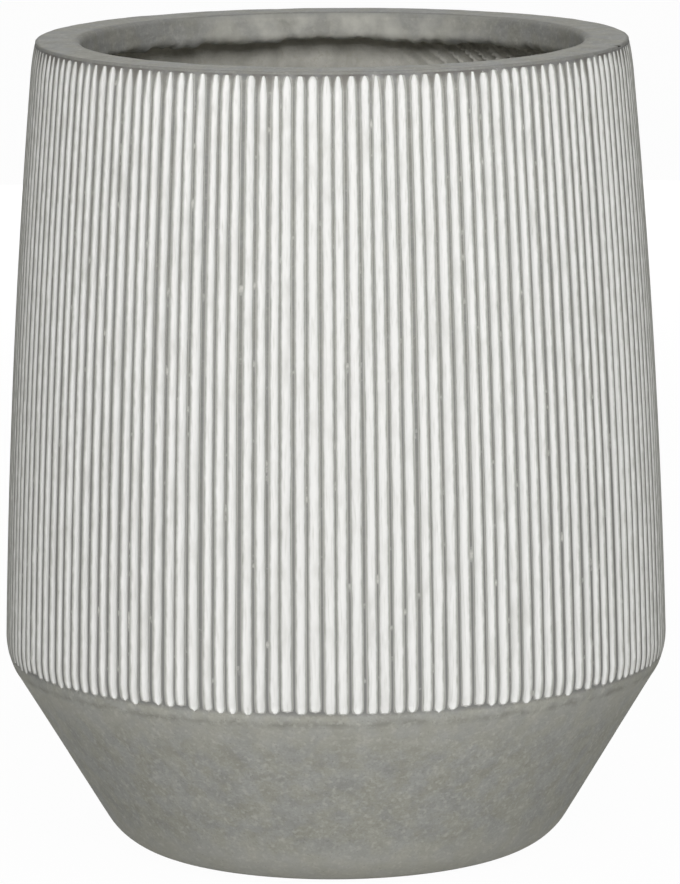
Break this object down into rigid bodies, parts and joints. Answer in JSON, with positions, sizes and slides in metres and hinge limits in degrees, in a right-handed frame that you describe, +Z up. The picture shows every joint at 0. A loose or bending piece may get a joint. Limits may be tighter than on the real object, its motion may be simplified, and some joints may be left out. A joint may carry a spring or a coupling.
{
  "type": "tall planter",
  "caption": "Tall round cement planter with a fluted upper wall, white slip in the flutes, a plain tapered base, a flat lipped rim and a lift-out drain plug.",
  "frame": {"origin": "middle of the flat underside, on the floor", "axes": "+Z up along the pot's axis, +X to the right and -Y towards the viewer as in the picture"},
  "size_m": [0.4002, 0.4002, 0.49],
  "materials": {
    "cement_face": "matte",
    "cement_rim": "matte",
    "white_slip": "matte",
    "fibre_backing": "rough",
    "plug_rubber": "matte"
  },
  "bodies": {
    "pot": {"fluted_wall": "cement_face", "flute_slip": "white_slip", "base_cone": "cement_face", "rim_ring": "cement_rim", "wall_backing": "fibre_backing", "base_backing": "fibre_backing", "floor_slab": "fibre_backing"},
    "plug": {"drain_plug": "plug_rubber"}
  },
  "joints": [
    {"name": "plug_lift", "type": "slide", "parent": "pot", "child": "plug", "axis": [0, 0, 1], "range_m": [0, 0.5]}
  ]
}
